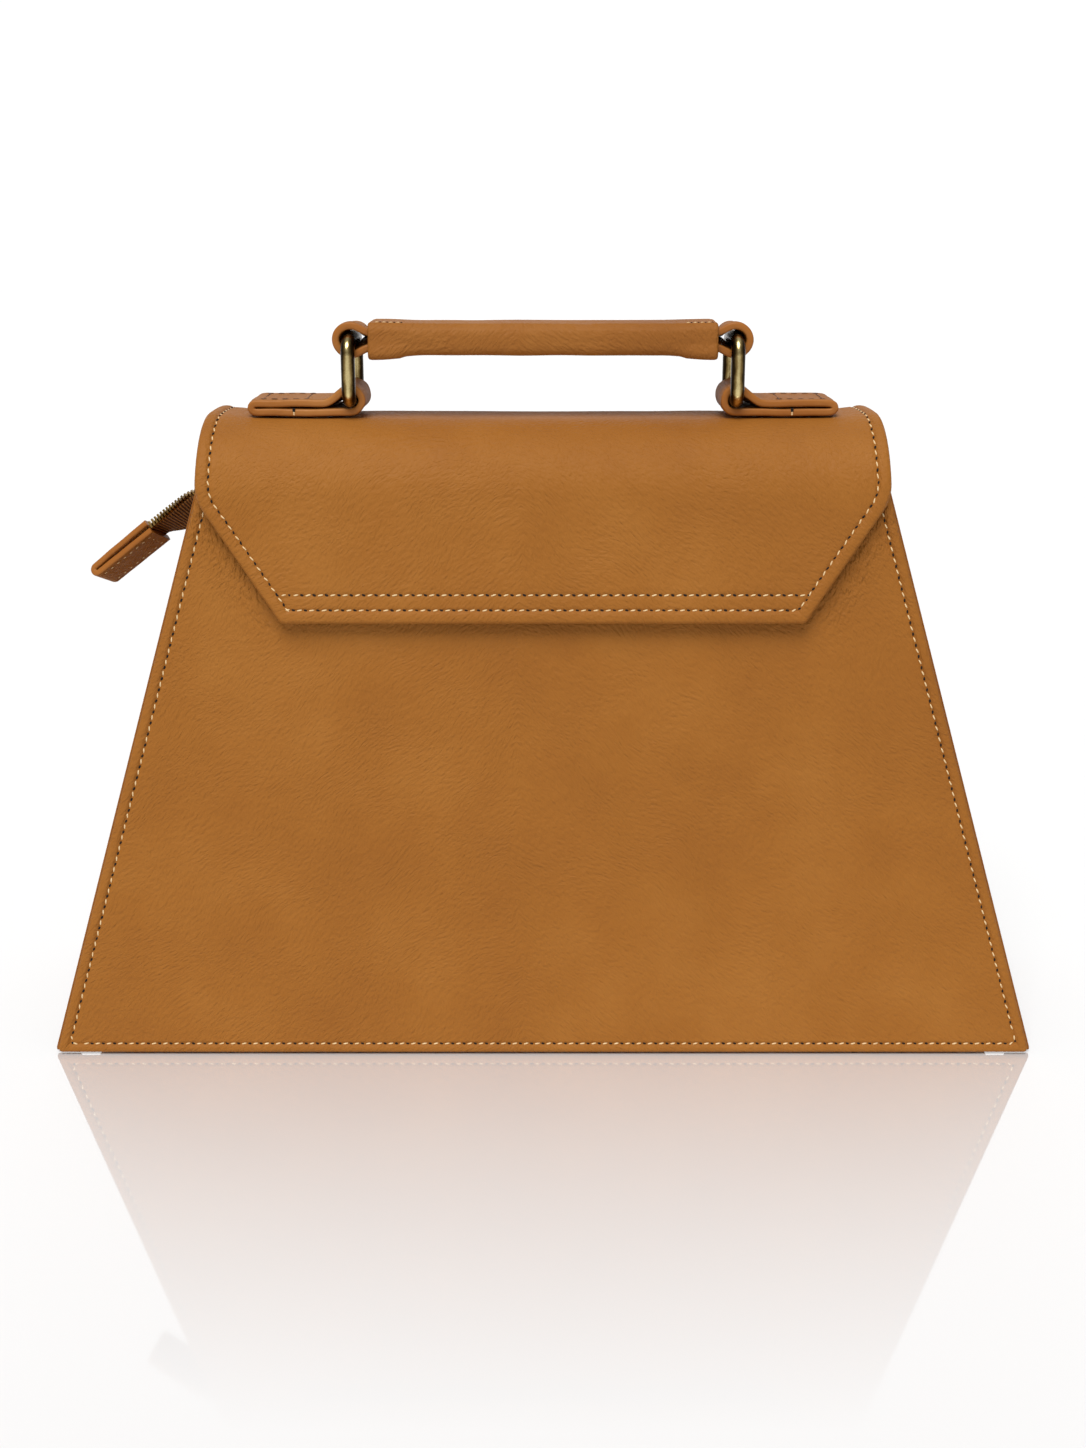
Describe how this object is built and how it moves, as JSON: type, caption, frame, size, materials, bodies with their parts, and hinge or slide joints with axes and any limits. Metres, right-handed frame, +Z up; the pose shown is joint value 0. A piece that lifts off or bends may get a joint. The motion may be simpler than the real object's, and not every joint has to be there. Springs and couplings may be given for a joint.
{
  "type": "crossbody bag",
  "caption": "Trapezoid leather crossbody bag with a fold-over flap, a top handle on two metal rings, a recessed metal zip and a strap ring on each side.",
  "frame": {"origin": "on the ground under the middle of the bag", "axes": "+X to the bag's right-hand side seen from the front, the front faces -Y, +Z up"},
  "size_m": [0.2884, 0.0878, 0.2121],
  "materials": {
    "leather_tan": "smooth matte tan nappa with fine creases",
    "leather_edge": "matte, a shade darker at the folded rims",
    "board": "plain bonded leather board",
    "lining": "brown woven lining",
    "zip_tape": "ribbed woven tape",
    "antique_brass": "satin antique brass",
    "steel": "plated magnet discs, hidden"
  },
  "bodies": {
    "bag": {"front_panel": "leather_tan", "back_panel": "leather_tan", "gusset_left": "leather_edge", "gusset_right": "leather_edge", "base_panel": "leather_edge", "front_board": "board", "back_board": "board", "base_board": "board", "front_lining": "lining", "back_lining": "lining", "left_lining": "lining", "right_lining": "lining", "base_lining": "lining", "panel_magnet": "steel", "zip_facing_front": "leather_tan", "zip_facing_back": "leather_tan", "zip_tape_front": "zip_tape", "zip_tape_back": "zip_tape", "zip_teeth_front": "antique_brass", "zip_teeth_back": "antique_brass", "zip_stops": "antique_brass", "flap_back_strip": "leather_tan", "side_tab_left": "leather_tan", "side_tab_right": "leather_tan"},
    "flap": {"flap_outer": "leather_tan", "flap_core": "board", "flap_lining": "lining", "flap_magnet": "steel", "tab_left": "leather_tan", "tab_right": "leather_tan"},
    "ring_left": {"ring_left": "antique_brass"},
    "ring_right": {"ring_right": "antique_brass"},
    "handle": {"handle_strap": "leather_tan", "handle_core": "board", "handle_sleeve": "leather_tan"},
    "slider": {"zip_slider": "antique_brass"},
    "pull": {"zip_pull": "antique_brass"},
    "zip_tail": {"tail_tape": "zip_tape", "tail_teeth": "antique_brass", "tail_end_tab": "leather_tan"},
    "side_ring_left": {"side_ring_left": "antique_brass"},
    "side_ring_right": {"side_ring_right": "antique_brass"}
  },
  "joints": [
    {"name": "flap_fold", "type": "hinge", "parent": "bag", "child": "flap", "pos_m": [0, 0.02993, 0.16551], "axis": [-1, 0, 0], "range_deg": [0, 150]},
    {"name": "ring_left_swing", "type": "hinge", "parent": "flap", "child": "ring_left", "pos_m": [-0.0554, 0, 0.18969], "axis": [0, 1, 0], "range_deg": [-35, 35]},
    {"name": "handle_level", "type": "hinge", "parent": "ring_left", "child": "handle", "pos_m": [-0.0554, 0, 0.20629], "axis": [0, 1, 0], "range_deg": [-35, 35]},
    {"name": "ring_right_swing", "type": "hinge", "parent": "flap", "child": "ring_right", "pos_m": [0.0554, 0, 0.18969], "axis": [0, 1, 0], "range_deg": [-35, 35]},
    {"name": "zip_slide", "type": "slide", "parent": "bag", "child": "slider", "axis": [-1, 0, 0], "range_m": [0, 0.16], "deforming": ["zip_teeth_front", "zip_teeth_back"]},
    {"name": "pull_swing", "type": "hinge", "parent": "slider", "child": "pull", "pos_m": [0.07999, 0, 0.1659], "axis": [0, 1, 0], "range_deg": [0, 165]},
    {"name": "tail_bend", "type": "hinge", "parent": "bag", "child": "zip_tail", "pos_m": [-0.10336, 0, 0.1627], "axis": [0, 1, 0], "range_deg": [-5, 35], "stiffness_Nm_per_rad": 0.02},
    {"name": "side_ring_left_swing", "type": "hinge", "parent": "bag", "child": "side_ring_left", "pos_m": [-0.104, 0, 0.12785], "axis": [0, 1, 0], "range_deg": [0, 85]},
    {"name": "side_ring_right_swing", "type": "hinge", "parent": "bag", "child": "side_ring_right", "pos_m": [0.104, 0, 0.12785], "axis": [0, -1, 0], "range_deg": [0, 85]}
  ],
  "couplings": [
    {"joint": "handle_level", "follows": "ring_left_swing", "ratio": -1},
    {"joint": "ring_right_swing", "follows": "ring_left_swing", "ratio": 1}
  ]
}
